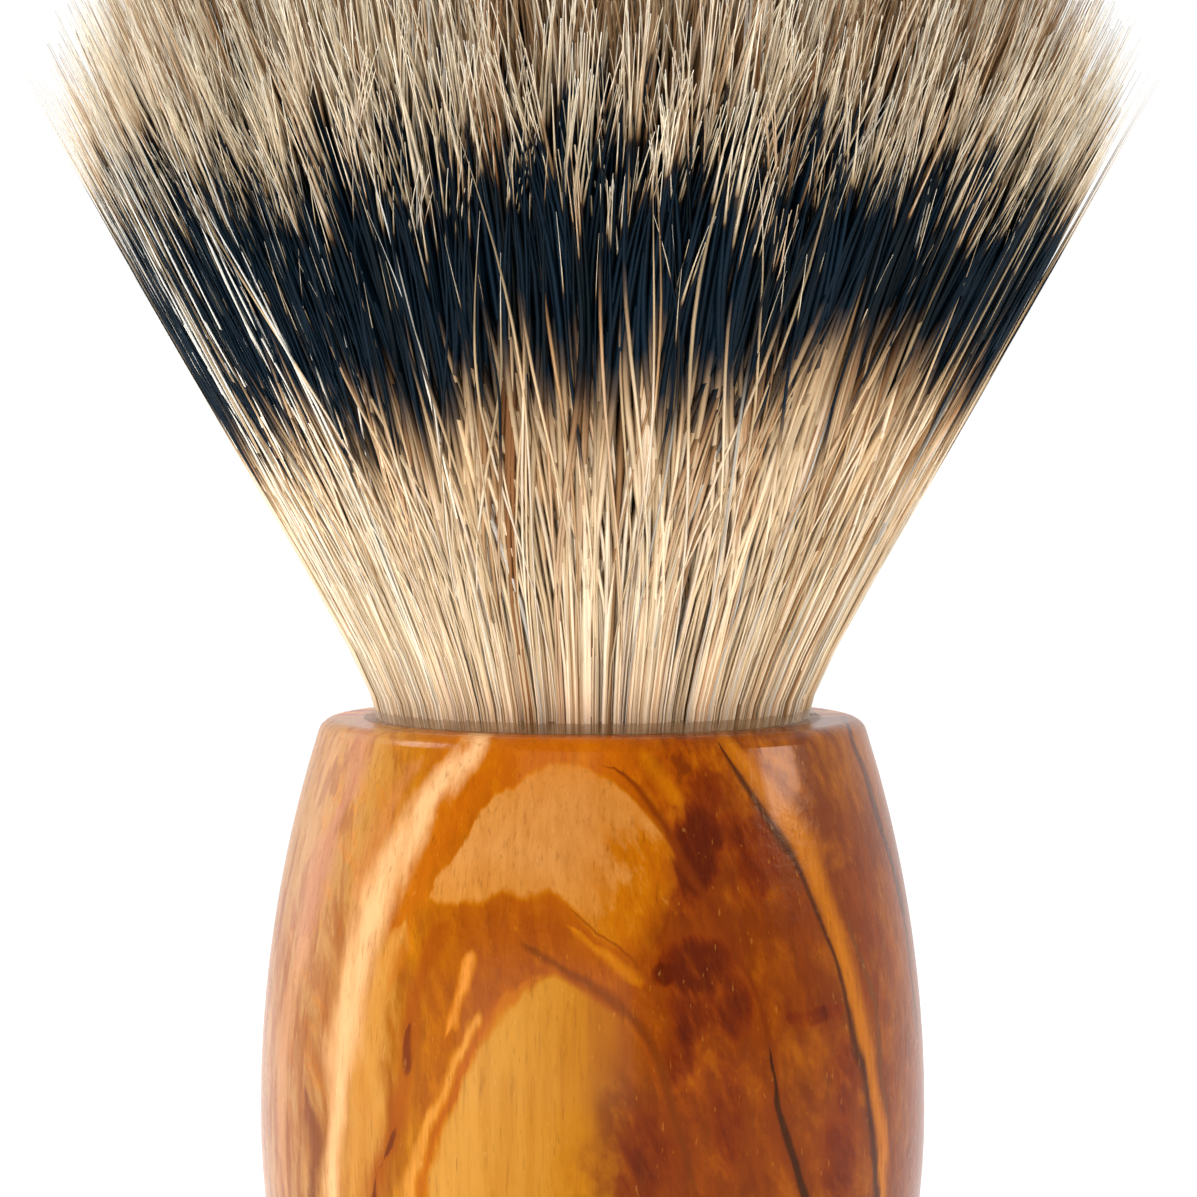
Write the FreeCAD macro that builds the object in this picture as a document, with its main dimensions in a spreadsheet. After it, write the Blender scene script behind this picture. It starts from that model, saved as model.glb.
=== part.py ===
"""Shaving brush: a turned olive wood handle with a domed knot of badger hair set in its socket.

Millimetres, +Z up, origin at the centre of the base. Heights of the hair are counted from the
handle's rim. The hair is held as four soft solids. The spherical cuts between them are centred on
the two flex axes of the hair, so that each solid can tilt over the one below it.
"""
import FreeCAD
import Part
import os

import Sketcher

SIZES = [
    # the turned handle
    ("handle_height", 49.0),
    ("belly_height", 29.0),
    ("belly_radius", 16.87),
    ("belly_arc_upper", 64.0),
    ("belly_arc_lower", 42.0),
    ("waist_arc", 18.0),
    ("foot_radius", 14.4),
    ("foot_height", 4.4),
    ("foot_edge", 1.4),
    ("foot_shoulder_edge", 0.9),
    ("rim_edge", 0.9),
    # the socket and what is set in it
    ("socket_radius", 10.7),
    ("socket_depth", 12.8),
    ("plug_radius", 10.5),
    ("plug_height", 11.0),
    ("plug_recess", 0.8),
    ("plug_floor", 1.2),
    ("plug_edge", 0.8),
    ("root_radius", 9.6),
    ("tie_height", 42.2),
    ("tie_radius", 9.0),
    ("tie_reach", 1.9),
    ("tie_taper", 0.8),
    ("thread_radius", 0.4),
    ("thread_pitch", 0.76),
    ("thread_turns", 4),
    ("lip_width", 0.9),
    ("lip_height", 0.6),
    ("lip_reach", 0.36),
    # the hair above the rim
    ("knot_radius", 10.5),
    ("loft", 50.0),
    ("fan_radius", 26.8),
    ("shoulder_height", 31.5),
    ("shoulder_arc", 9.0),
    ("root_pivot", -3.0),
    ("root_dome", 15.0),
    ("shaft_pivot", 0.0),
    ("shaft_dome", 23.8),
    ("band_dome", 36.5),
    ("flex_gap", 0.3),
]

ORIGIN_POINT = (-1, 1)
HORIZONTAL_AXIS = -1
VERTICAL_AXIS = -2
START, END, CENTRE = 1, 2, 3

doc = FreeCAD.newDocument("ShavingBrush")
sheet = doc.addObject("Spreadsheet::Sheet", "Sizes")
for row, (alias, value) in enumerate(SIZES, start=1):
    sheet.set(f"A{row}", alias)
    sheet.set(f"B{row}", str(value))
    sheet.setAlias(f"B{row}", alias)
doc.recompute()


def size(alias):
    return float(sheet.get(alias))


def linked(formula):
    """A formula in the sheet's aliases, as an expression: each alias gets the sheet's name."""
    words = formula.split()
    aliases = dict(SIZES)
    return " ".join(f"Sizes.{word}" if word in aliases else word for word in words)


def value_of(formula):
    """The same formula's value now, for the sketch's first guess."""
    total, sign = 0.0, 1.0
    for word in formula.split():
        if word in "+-":
            sign = 1.0 if word == "+" else -1.0
        else:
            total += sign * size(word)
    return total


def vector(across, up):
    return FreeCAD.Vector(across, up, 0)


# ---- sketch and body helpers ------------------------------------------------------------------


def new_body(name):
    body = doc.addObject("PartDesign::Body", name)
    body.Label = name
    return body


def origin_plane(body, role):
    return next(plane for plane in body.Origin.OriginFeatures if plane.Role == role)


def new_sketch(body, name, role="XZ_Plane"):
    sketch = body.newObject("Sketcher::SketchObject", name)
    sketch.AttachmentSupport = [(origin_plane(body, role), "")]
    sketch.MapMode = "FlatFace"
    return sketch


def dimension(sketch, kind, *where, formula):
    """Add one driving dimension and bind it to the sheet."""
    index = sketch.addConstraint(Sketcher.Constraint(kind, *where, value_of(formula)))
    sketch.setExpression(f"Constraints[{index}]", linked(formula))


def place(sketch, geometry, point, across=None, up=None):
    """Fix a point's distance from the axis and its height; None leaves that one free."""
    if across == "axis":
        sketch.addConstraint(Sketcher.Constraint("PointOnObject", geometry, point, VERTICAL_AXIS))
    elif across:
        dimension(sketch, "DistanceX", *ORIGIN_POINT, geometry, point, formula=across)
    if up == "base":
        sketch.addConstraint(Sketcher.Constraint("PointOnObject", geometry, point, HORIZONTAL_AXIS))
    elif up:
        dimension(sketch, "DistanceY", *ORIGIN_POINT, geometry, point, formula=up)


def polygon(sketch, corners):
    """A closed outline of straight edges through corners, each a pair of formulas."""
    points = []
    for across, up in corners:
        across_now = 0.0 if across == "axis" else value_of(across)
        up_now = 0.0 if up == "base" else value_of(up)
        points.append(vector(across_now, up_now))
    count = len(points)
    for i in range(count):
        sketch.addGeometry(Part.LineSegment(points[i], points[(i + 1) % count]), False)
    for i in range(count):
        sketch.addConstraint(Sketcher.Constraint("Coincident", i, END, (i + 1) % count, START))
    for i, (across, up) in enumerate(corners):
        place(sketch, i, START, across, up)


def arc_through(start, middle, end):
    return Part.Arc(vector(*start), vector(*middle), vector(*end))


def flat_circle(centre, radius):
    return Part.Circle(centre, FreeCAD.Vector(0, 0, 1), radius)


def revolve(body, sketch, name):
    turned = body.newObject("PartDesign::Revolution", name)
    turned.Profile = sketch
    turned.ReferenceAxis = (sketch, ["V_Axis"])
    turned.Angle = 360.0
    body.Tip = turned
    doc.recompute()
    return turned


def rings(shape, height, radius=None):
    """Names of the circular edges at a height, and of a radius where it is given."""
    names = []
    for number, edge in enumerate(shape.Edges, start=1):
        curve = edge.Curve
        if not isinstance(curve, Part.Circle):
            continue
        right_height = abs(curve.Center.z - height) < 1e-4
        if right_height and (radius is None or abs(curve.Radius - radius) < 1e-4):
            names.append(f"Edge{number}")
    return names


def round_ring(body, name, base, height, alias, radius=None):
    fillet = body.newObject("PartDesign::Fillet", name)
    fillet.Base = (base, rings(base.Shape, height, radius))
    fillet.setExpression("Radius", linked(alias))
    body.Tip = fillet
    doc.recompute()
    return fillet


def turned_body(name, corners):
    """A body turned about the axis from a straight-edged outline."""
    body = new_body(name)
    sketch = new_sketch(body, f"{name}_outline")
    polygon(sketch, corners)
    revolve(body, sketch, f"{name}_turned")
    return body


# ---- the handle -------------------------------------------------------------------------------


def handle_outline(sketch):
    """Foot, waist arc, lower and upper belly arcs and rim, drawn in the order they are turned."""
    foot = size("foot_radius")
    foot_top = size("foot_height")
    belly = size("belly_radius")
    belly_at = size("belly_height")
    rim_at = size("handle_height")
    upper = size("belly_arc_upper")
    lower = size("belly_arc_lower")
    rim = belly - upper + (upper**2 - (rim_at - belly_at) ** 2) ** 0.5
    quarter_up = belly - upper + (upper**2 - ((rim_at - belly_at) / 2) ** 2) ** 0.5
    join_drop = lower / 3
    join = belly - lower + (lower**2 - join_drop**2) ** 0.5
    join_half = belly - lower + (lower**2 - (join_drop / 2) ** 2) ** 0.5
    waist = (0.95 * foot, (foot_top + belly_at - join_drop) / 2)

    base_line = sketch.addGeometry(Part.LineSegment(vector(0, 0), vector(foot, 0)), False)
    foot_side = sketch.addGeometry(Part.LineSegment(vector(foot, 0), vector(foot, foot_top)), False)
    waist_curve = sketch.addGeometry(
        arc_through((foot, foot_top), waist, (join, belly_at - join_drop)), False
    )
    lower_curve = sketch.addGeometry(
        arc_through((join, belly_at - join_drop), (join_half, belly_at - join_drop / 2),
                    (belly, belly_at)), False
    )
    upper_curve = sketch.addGeometry(
        arc_through((belly, belly_at), (quarter_up, (belly_at + rim_at) / 2), (rim, rim_at)), False
    )
    rim_line = sketch.addGeometry(Part.LineSegment(vector(rim, rim_at), vector(0, rim_at)), False)
    axis_line = sketch.addGeometry(Part.LineSegment(vector(0, rim_at), vector(0, 0)), False)

    # a clockwise arc is stored turned round, so its START is the end nearer the belly
    join_point = nearer_end(sketch, waist_curve, join, belly_at - join_drop)
    foot_point = START + END - join_point
    lower_join = nearer_end(sketch, lower_curve, join, belly_at - join_drop)
    lower_belly = START + END - lower_join
    upper_belly = nearer_end(sketch, upper_curve, belly, belly_at)
    upper_rim = START + END - upper_belly

    meet = [
        (base_line, END, foot_side, START),
        (foot_side, END, waist_curve, foot_point),
        (upper_curve, upper_rim, rim_line, START),
        (rim_line, END, axis_line, START),
        (axis_line, END, base_line, START),
    ]
    for first in meet:
        sketch.addConstraint(Sketcher.Constraint("Coincident", *first))
    sketch.addConstraint(
        Sketcher.Constraint("Tangent", waist_curve, join_point, lower_curve, lower_join)
    )
    sketch.addConstraint(
        Sketcher.Constraint("Tangent", lower_curve, lower_belly, upper_curve, upper_belly)
    )
    sketch.addConstraint(Sketcher.Constraint("Coincident", base_line, START, *ORIGIN_POINT))
    sketch.addConstraint(Sketcher.Constraint("Horizontal", base_line))
    sketch.addConstraint(Sketcher.Constraint("Vertical", foot_side))
    sketch.addConstraint(Sketcher.Constraint("Horizontal", rim_line))
    sketch.addConstraint(Sketcher.Constraint("Vertical", axis_line))
    sketch.addConstraint(
        Sketcher.Constraint("Horizontal", upper_curve, CENTRE, upper_curve, upper_belly)
    )
    place(sketch, base_line, END, across="foot_radius")
    place(sketch, foot_side, END, up="foot_height")
    place(sketch, upper_curve, upper_belly, across="belly_radius", up="belly_height")
    place(sketch, rim_line, END, up="handle_height")
    dimension(sketch, "Radius", waist_curve, formula="waist_arc")
    dimension(sketch, "Radius", lower_curve, formula="belly_arc_lower")
    dimension(sketch, "Radius", upper_curve, formula="belly_arc_upper")


def nearer_end(sketch, geometry, across, up):
    """START or END, whichever of a curve's ends lies nearer the given place."""
    target = vector(across, up)
    gaps = {point: (sketch.getPoint(geometry, point) - target).Length for point in (START, END)}
    return min(gaps, key=gaps.get)


def make_handle():
    body = new_body("handle")
    outline = new_sketch(body, "handle_outline")
    handle_outline(outline)
    turned = revolve(body, outline, "handle_turned")

    mouth = new_sketch(body, "socket_mouth", role="XY_Plane")
    mouth.setExpression("AttachmentOffset.Base.z", linked("handle_height"))
    circle = mouth.addGeometry(flat_circle(vector(0, 0), size("socket_radius")), False)
    mouth.addConstraint(Sketcher.Constraint("Coincident", circle, CENTRE, *ORIGIN_POINT))
    dimension(mouth, "Radius", circle, formula="socket_radius")
    socket = body.newObject("PartDesign::Pocket", "socket")
    socket.Profile = mouth
    socket.setExpression("Length", linked("socket_depth"))
    body.Tip = socket
    doc.recompute()
    bored = turned.Shape.Volume - socket.Shape.Volume
    expected = 3.14159 * size("socket_radius") ** 2 * size("socket_depth")
    if abs(bored - expected) > 1:
        raise SystemExit("the socket doesn't cut the handle")

    rim_at = size("handle_height")
    outer_rim = max(
        edge.Curve.Radius for edge in socket.Shape.Edges
        if isinstance(edge.Curve, Part.Circle) and abs(edge.Curve.Center.z - rim_at) < 1e-4
    )
    rim = round_ring(body, "rim_rounding", socket, rim_at, "rim_edge", outer_rim)
    foot = round_ring(body, "foot_rounding", rim, 0.0, "foot_edge")
    shoulder_at = size("foot_height")
    round_ring(body, "foot_shoulder_rounding", foot, shoulder_at, "foot_shoulder_edge")
    return body


# ---- what is set in the socket ----------------------------------------------------------------


def make_socket_adhesive():
    """The cured bed under the plug and the film round it."""
    plug_top = "handle_height - plug_recess"
    plug_base = "handle_height - plug_recess - plug_height"
    floor = "handle_height - socket_depth"
    return turned_body("socket_adhesive", [
        ("axis", floor),
        ("socket_radius", floor),
        ("socket_radius", plug_top),
        ("plug_radius", plug_top),
        ("plug_radius", plug_base + " + plug_edge"),
        ("plug_radius - plug_edge", plug_base),
        ("axis", plug_base),
    ])


def root_steps():
    """The hair bundle's side inside the plug, from its lower end up: full, tied, full, spread."""
    return [
        ("root_radius", "handle_height - plug_recess - plug_height + plug_floor"),
        ("root_radius", "tie_height - tie_reach - tie_taper"),
        ("tie_radius", "tie_height - tie_reach"),
        ("tie_radius", "tie_height + tie_reach"),
        ("root_radius", "tie_height + tie_reach + tie_taper"),
        ("root_radius", "handle_height - plug_recess - plug_floor"),
        ("plug_radius", "handle_height - plug_recess"),
    ]


def make_resin_plug(thread):
    """The cast plug, hollow where the hair bundle runs and grooved where the thread lies."""
    plug_base = "handle_height - plug_recess - plug_height"
    plug_top = "handle_height - plug_recess"
    casting = turned_body("resin_casting", [
        ("axis", plug_base),
        ("plug_radius - plug_edge", plug_base),
        ("plug_radius", plug_base + " + plug_edge"),
        ("plug_radius", plug_top),
    ] + list(reversed(root_steps()))[1:] + [
        ("axis", plug_base + " + plug_floor"),
    ])
    return cut("resin_plug", casting, thread)


def make_binding_thread():
    """Turns of thread side by side round the hair bundle, half sunk in it."""
    body = new_body("binding_thread")
    section = new_sketch(body, "thread_section")
    first_turn = "tie_height - thread_pitch - thread_radius"
    centre = vector(size("tie_radius"), value_of(first_turn))
    circle = section.addGeometry(flat_circle(centre, size("thread_radius")), False)
    place(section, circle, CENTRE, across="tie_radius", up=first_turn)
    dimension(section, "Radius", circle, formula="thread_radius")
    turn = revolve(body, section, "thread_turn")
    turns = body.newObject("PartDesign::LinearPattern", "thread_turns")
    turns.Originals = [turn]
    turns.Direction = (section, ["V_Axis"])
    turns.setExpression("Occurrences", linked("thread_turns"))
    turns.setExpression("Length", "Sizes.thread_pitch * (Sizes.thread_turns - 1)")
    body.Tip = turns
    doc.recompute()
    return body


def make_mouth_adhesive():
    """The clear lip that seals hair and wood at the mouth."""
    return turned_body("mouth_adhesive", [
        ("plug_radius", "handle_height - plug_recess"),
        ("socket_radius", "handle_height - plug_recess"),
        ("socket_radius", "handle_height"),
        ("socket_radius + lip_width", "handle_height"),
        ("knot_radius + lip_reach", "handle_height + lip_height"),
        ("knot_radius", "handle_height"),
    ])


# ---- the hair ---------------------------------------------------------------------------------


def make_fan():
    """The outer form of all the hair above the rim: a cone, a rounded shoulder and a dome."""
    body = new_body("fan")
    sketch = new_sketch(body, "fan_outline")
    rim_at = size("handle_height")
    knot = size("knot_radius")
    round_by = size("shoulder_arc")
    centre_across = size("fan_radius") - round_by
    centre_up = rim_at + size("shoulder_height")
    top = rim_at + size("loft")
    rise = top - centre_up
    dome = (centre_across**2 + rise**2 - round_by**2) / (2 * (rise - round_by))
    reach = dome / (dome - round_by)
    join = (centre_across * reach, top - dome + (centre_up - top + dome) * reach)
    widest = (centre_across + round_by, centre_up)
    start = (widest[0] - 1.1, widest[1] - 4.4)
    dome_middle = (dome * 0.5, top - dome + dome * 0.75**0.5)

    cone_side = sketch.addGeometry(Part.LineSegment(vector(knot, rim_at), vector(*start)), False)
    shoulder = sketch.addGeometry(arc_through(start, widest, join), False)
    crown = sketch.addGeometry(arc_through(join, dome_middle, (0, top)), False)
    axis_line = sketch.addGeometry(Part.LineSegment(vector(0, top), vector(0, rim_at)), False)
    floor = sketch.addGeometry(Part.LineSegment(vector(0, rim_at), vector(knot, rim_at)), False)

    low = nearer_end(sketch, shoulder, *start)
    high = START + END - low
    crown_low = nearer_end(sketch, crown, *join)
    crown_top = START + END - crown_low
    sketch.addConstraint(Sketcher.Constraint("Tangent", cone_side, END, shoulder, low))
    sketch.addConstraint(Sketcher.Constraint("Tangent", shoulder, high, crown, crown_low))
    sketch.addConstraint(Sketcher.Constraint("Coincident", crown, crown_top, axis_line, START))
    sketch.addConstraint(Sketcher.Constraint("Coincident", axis_line, END, floor, START))
    sketch.addConstraint(Sketcher.Constraint("Coincident", floor, END, cone_side, START))
    sketch.addConstraint(Sketcher.Constraint("Horizontal", floor))
    place(sketch, axis_line, START, across="axis", up="handle_height + loft")
    place(sketch, axis_line, END, across="axis")
    place(sketch, crown, CENTRE, across="axis")
    place(sketch, cone_side, START, across="knot_radius", up="handle_height")
    place(sketch, shoulder, CENTRE, across="fan_radius - shoulder_arc",
          up="handle_height + shoulder_height")
    dimension(sketch, "Radius", shoulder, formula="shoulder_arc")
    revolve(body, sketch, "fan_turned")
    return body


def ball(name, pivot, radius):
    """A sphere centred on a flex axis, for the cuts between the hair solids."""
    sphere = doc.addObject("Part::Sphere", name)
    sphere.setExpression("Radius", linked(radius))
    sphere.setExpression("Placement.Base.z", linked(f"handle_height + {pivot}"))
    return sphere


def boolean(kind, name, base, tool):
    result = doc.addObject(kind, name)
    result.Label = name
    result.Base = base
    result.Tool = tool
    return result


def cut(name, base, tool):
    return boolean("Part::Cut", name, base, tool)


def common(name, base, tool):
    return boolean("Part::Common", name, base, tool)


def make_hair(thread):
    """Root, shafts, band and tips, one above the other, with a gap where one tilts on another."""
    fan = make_fan()
    root_top = ball("root_top", "root_pivot", "root_dome")
    shafts_under = ball("shafts_under", "root_pivot", "root_dome + flex_gap")
    shafts_top = ball("shafts_top", "shaft_pivot", "shaft_dome")
    band_under = ball("band_under", "shaft_pivot", "shaft_dome + flex_gap")
    band_top = ball("band_top", "shaft_pivot", "band_dome")

    bundle = turned_body("bundle", [
        ("axis", root_steps()[0][1]),
    ] + root_steps() + [
        ("knot_radius", "handle_height"),
        ("axis", "handle_height"),
    ])
    tied = cut("tied_bundle", bundle, thread)
    neck = common("neck", fan, root_top)
    root = doc.addObject("Part::Fuse", "hair_root")
    root.Label = "hair_root"
    root.Base = tied
    root.Tool = neck
    shafts = cut("hair_shafts", common("below_band", fan, shafts_top), shafts_under)
    band = cut("hair_band", common("below_tips", fan, band_top), band_under)
    tips = cut("hair_tips", fan, band_top)
    return [root, shafts, band, tips]


# ---- build, check and write -------------------------------------------------------------------


def check(objects):
    for item in objects:
        if "Invalid" in item.State or "Error" in item.State:
            raise SystemExit(f"{item.Label} didn't compute: {item.State}")


def main():
    handle = make_handle()
    thread = make_binding_thread()
    parts = [
        handle,
        make_socket_adhesive(),
        make_resin_plug(thread),
        thread,
        make_mouth_adhesive(),
    ] + make_hair(thread)
    doc.recompute()
    check(doc.Objects)
    os.makedirs("parts", exist_ok=True)
    for part in parts:
        shape = part.Shape
        if shape.isNull() or not shape.isValid():
            raise SystemExit(f"{part.Label} has no valid shape")
        shape.exportStep(f"parts/{part.Label}.step")
        print(f"{part.Label}: {len(shape.Solids)} solid, {shape.Volume / 1000:.3f} cm3")


main()
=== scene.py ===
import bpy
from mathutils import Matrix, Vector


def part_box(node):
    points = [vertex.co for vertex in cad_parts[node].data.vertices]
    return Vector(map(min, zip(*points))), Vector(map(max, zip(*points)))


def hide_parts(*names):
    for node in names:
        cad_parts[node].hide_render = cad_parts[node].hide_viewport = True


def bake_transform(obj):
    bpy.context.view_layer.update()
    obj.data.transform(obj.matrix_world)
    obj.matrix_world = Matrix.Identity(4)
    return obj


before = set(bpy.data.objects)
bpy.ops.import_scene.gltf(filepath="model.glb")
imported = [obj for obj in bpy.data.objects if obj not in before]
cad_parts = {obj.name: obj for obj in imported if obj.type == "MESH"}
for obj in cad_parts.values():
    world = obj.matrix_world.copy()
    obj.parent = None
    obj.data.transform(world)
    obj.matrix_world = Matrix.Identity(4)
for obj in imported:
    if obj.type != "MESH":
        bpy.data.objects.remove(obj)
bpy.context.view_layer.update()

import copy
import math

import bpy
import numpy as np
from mathutils import Vector

# ---- places and sizes, from the frame ----
# Hair is laid out in millimetres: heights from the handle's rim, radii from the brush's axis.

MM = 0.001
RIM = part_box("handle")[1].z
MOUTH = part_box("resin_plug")[1].x / MM
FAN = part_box("hair_tips")[1].x / MM
LOFT = (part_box("hair_tips")[1].z - RIM) / MM
SHOULDER = 31.5  # the height where the fan is widest
CUT = 16.0  # the height where the lower pieces of hair end and the upper ones begin
TAU = 2 * math.pi


def add_object(name, data):
    made = bpy.data.objects.new(name, data)
    bpy.context.scene.collection.objects.link(made)
    return made


# ---- material graphs ----


def srgb(red, green, blue):
    """A colour given as it looks on screen, 0 to 255, as the linear values that nodes take."""
    def linear(value):
        value /= 255
        return value / 12.92 if value <= 0.04045 else ((value + 0.055) / 1.055) ** 2.4
    return (linear(red), linear(green), linear(blue), 1.0)


# the Mix node's colour sockets share their names with its number sockets, so they go by place
MIX_FIRST, MIX_SECOND, MIX_RESULT = 6, 7, 2


class Graph:
    """A material's node tree, with one short method for each kind of node."""

    def __init__(self, name, **surface):
        self.material = bpy.data.materials.new(name)
        self.material.use_nodes = True
        self.tree = self.material.node_tree
        self.shader = self.tree.nodes["Principled BSDF"]
        for socket, value in surface.items():
            self.shader.inputs[socket.replace("_", " ")].default_value = value

    def node(self, kind, inputs=(), **settings):
        """A new node with its settings, and with its inputs fed by name or by place."""
        made = self.tree.nodes.new(kind)
        for name, value in settings.items():
            setattr(made, name, value)
        for name, value in dict(inputs).items():
            self.feed(made.inputs[name], value)
        return made

    def feed(self, socket, value):
        if isinstance(value, bpy.types.NodeSocket):
            self.tree.links.new(value, socket)
        else:
            socket.default_value = value

    def paint(self, colour):
        self.feed(self.shader.inputs["Base Color"], colour)

    def calc(self, operation, *values):
        return self.node("ShaderNodeMath", enumerate(values), operation=operation).outputs[0]

    def plus(self, first, second):
        return self.calc("ADD", first, second)

    def minus(self, first, second):
        return self.calc("SUBTRACT", first, second)

    def times(self, first, second):
        return self.calc("MULTIPLY", first, second)

    def times_plus(self, first, second, third):
        return self.calc("MULTIPLY_ADD", first, second, third)

    def over(self, first, second):
        return self.calc("DIVIDE", first, second)

    def square(self, value):
        return self.calc("POWER", value, 2.0)

    def smooth(self, value, low, high):
        """0 below low, 1 above high, and an S curve between them."""
        made = self.node("ShaderNodeMapRange", {"Value": value, "From Min": low, "From Max": high},
                         interpolation_type="SMOOTHSTEP")
        return made.outputs["Result"]

    def blend(self, factor, first, second, kind="MIX"):
        made = self.node("ShaderNodeMix", data_type="RGBA", blend_type=kind,
                         inputs={"Factor": factor, MIX_FIRST: first, MIX_SECOND: second})
        return made.outputs[MIX_RESULT]

    def richer(self, colour, amount):
        made = self.node("ShaderNodeHueSaturation", {"Saturation": amount, "Color": colour})
        return made.outputs[0]

    def split(self, vector):
        return self.node("ShaderNodeSeparateXYZ", {0: vector}).outputs

    def join(self, *values):
        return self.node("ShaderNodeCombineXYZ", enumerate(values)).outputs[0]

    def noise(self, vector, scale, detail=2.0, roughness=0.5):
        made = self.node("ShaderNodeTexNoise", {"Vector": vector, "Scale": scale,
                                                "Detail": detail, "Roughness": roughness})
        return made.outputs["Fac"]

    def grain(self, place, along, scale, **settings):
        """Noise drawn out along the height: the smaller "along" is, the longer its streaks."""
        drawn = self.node("ShaderNodeVectorMath", {0: place, 1: (1, 1, along)},
                          operation="MULTIPLY")
        return self.noise(drawn.outputs[0], scale, **settings)

    def ramp(self, factor, stops):
        made = self.node("ShaderNodeValToRGB", {0: factor})
        elements = made.color_ramp.elements
        while len(elements) < len(stops):
            elements.new(0.5)
        for element, (place, colour) in zip(elements, stops):
            element.position = place
            element.color = colour
        return made.outputs[0]

    def curve(self, value, points):
        """A smooth curve through points whose places and heights run from 0 to 1."""
        made = self.node("ShaderNodeFloatCurve", {"Value": value})
        made.mapping.extend = "HORIZONTAL"
        knots = made.mapping.curves[0].points
        knots[0].location = points[0]
        knots[1].location = points[-1]
        for point in points[1:-1]:
            knots.new(*point)
        for knot in knots:
            knot.handle_type = "AUTO_CLAMPED"
        made.mapping.update()
        return made.outputs[0]

    def bump(self, height, strength, distance):
        made = self.node("ShaderNodeBump",
                         {"Height": height, "Strength": strength, "Distance": distance})
        self.feed(self.shader.inputs["Normal"], made.outputs[0])

    def millimetres(self):
        """The place on the object in millimetres, with heights from the rim."""
        place = self.node("ShaderNodeTexCoord").outputs["Object"]
        made = self.node("ShaderNodeVectorMath", operation="MULTIPLY_ADD",
                         inputs={0: place, 1: (1 / MM,) * 3, 2: (0, 0, -RIM / MM)})
        return made.outputs[0]


# ---- olive wood ----
# Depths are measured down from the rim, and "across" runs to the right, both in millimetres.

RING_LOW = 7.0
RING_SPAN = 11.4

# the wood's colour across its growth rings, by their place in the block in millimetres
RINGS = [
    (7.0, (176, 104, 48)),
    (8.4, (214, 150, 92)),
    (9.2, (168, 94, 42)),
    (10.0, (204, 140, 82)),
    (10.9, (228, 172, 112)),
    (11.7, (222, 166, 108)),
    (12.2, (190, 120, 66)),
    (12.8, (214, 150, 88)),
    (13.5, (184, 108, 48)),
    (14.0, (172, 90, 34)),
    (14.35, (158, 74, 24)),
    (14.55, (206, 130, 62)),
    (15.3, (216, 142, 72)),
    (16.0, (206, 124, 54)),
    (16.3, (176, 84, 28)),
    (16.85, (158, 68, 16)),
    (17.05, (120, 44, 8)),
    (17.2, (196, 118, 54)),
    (17.7, (212, 142, 74)),
    (18.4, (216, 150, 84)),
]

# the front's base colour from left to right
FRONT = [
    (-17.0, (176, 128, 86)),
    (-13.5, (180, 130, 80)),
    (-10.5, (188, 134, 74)),
    (-9.0, (186, 122, 58)),
    (-7.5, (180, 104, 42)),
    (-4.0, (186, 96, 22)),
    (0.0, (192, 98, 18)),
    (4.0, (160, 72, 4)),
    (8.0, (142, 66, 6)),
    (11.0, (146, 78, 16)),
    (13.0, (152, 86, 28)),
    (15.0, (156, 92, 40)),
    (17.0, (160, 106, 62)),
]

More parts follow.
